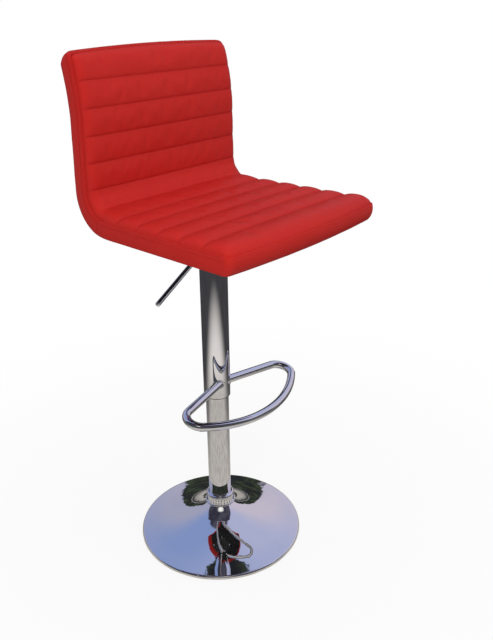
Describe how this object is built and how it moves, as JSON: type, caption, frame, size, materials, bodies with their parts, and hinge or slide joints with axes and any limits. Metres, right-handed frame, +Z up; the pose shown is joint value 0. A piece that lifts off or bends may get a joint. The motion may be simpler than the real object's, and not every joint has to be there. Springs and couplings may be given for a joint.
{
  "type": "adjustable swivel stool",
  "caption": "Bar stool with a channelled red seat and back in one bent shell, turning and rising on a chrome gas-lift column with a footrest loop and a dished base.",
  "frame": {"origin": "on the floor, on the column's axis", "axes": "+Z up along the column, -Y to the stool's front, -X to the side that carries the lever"},
  "size_m": [0.445, 0.4535, 1.1121],
  "materials": {
    "chrome": "mirror-bright chrome plate",
    "black_steel": "satin black powder coat",
    "bright_steel": "zinc plated",
    "piston_alloy": "turned",
    "black_rubber": "matt black rubber",
    "black_nylon": "moulded black nylon",
    "plywood": "bent plywood",
    "dust_cloth": "black spun cloth",
    "red_leatherette": "grained red faux leather",
    "red_padding": "grained red faux leather sewn in channels over foam"
  },
  "bodies": {
    "base": {"base_dish": "chrome", "base_weight": "black_steel", "base_foot_ring": "black_rubber", "base_socket": "black_steel", "socket_bolts": "bright_steel", "column_tube": "chrome", "column_collar": "chrome", "guide_bush": "black_nylon", "tube_end_plate": "bright_steel", "bearing_lower_race": "bright_steel", "bearing_cage": "black_nylon", "bearing_balls": "bright_steel"},
    "spindle": {"piston_rod": "bright_steel", "bearing_upper_race": "bright_steel", "rod_clip": "bright_steel", "rod_buffer": "black_rubber", "piston": "piston_alloy", "piston_ring": "black_rubber", "piston_nut": "bright_steel"},
    "seat": {"gas_cylinder": "black_steel", "cylinder_gland": "bright_steel", "rod_seal": "black_rubber", "valve_body": "bright_steel", "cover_sleeve": "chrome", "sleeve_glide": "black_nylon", "sleeve_cap": "bright_steel", "footrest_loop": "chrome", "seat_plate": "black_steel", "seat_hub": "black_steel", "lever_bracket": "black_steel", "lever_pivot_pin": "bright_steel", "seat_bolts": "bright_steel", "bolt_washers": "bright_steel", "board_nuts": "bright_steel", "seat_board": "plywood", "dust_cover": "dust_cloth", "seat_cover": "red_leatherette", "side_strip_left": "red_leatherette", "side_strip_right": "red_leatherette", "seat_cushion": "red_padding"},
    "lever": {"lever_rod": "chrome"},
    "release_pin": {"release_pin": "bright_steel"}
  },
  "joints": [
    {"name": "seat_swivel", "type": "hinge", "parent": "base", "child": "spindle", "pos_m": [0, 0, 0], "axis": [0, 0, 1], "continuous": true},
    {"name": "height_adjust", "type": "slide", "parent": "spindle", "child": "seat", "axis": [0, 0, 1], "range_m": [-0.21, 0]},
    {"name": "lever_lift", "type": "hinge", "parent": "seat", "child": "lever", "pos_m": [-0.03517, -0.00767, 0.72225], "axis": [-0.213, 0.977, 0], "range_deg": [0, 8], "stiffness_Nm_per_rad": 2, "springref_deg": -5.73},
    {"name": "pin_press", "type": "slide", "parent": "seat", "child": "release_pin", "axis": [0, 0, -1], "range_m": [0, 0.0052]}
  ],
  "couplings": [
    {"joint": "pin_press", "follows": "lever_lift", "m_per_rad": 0.036}
  ]
}
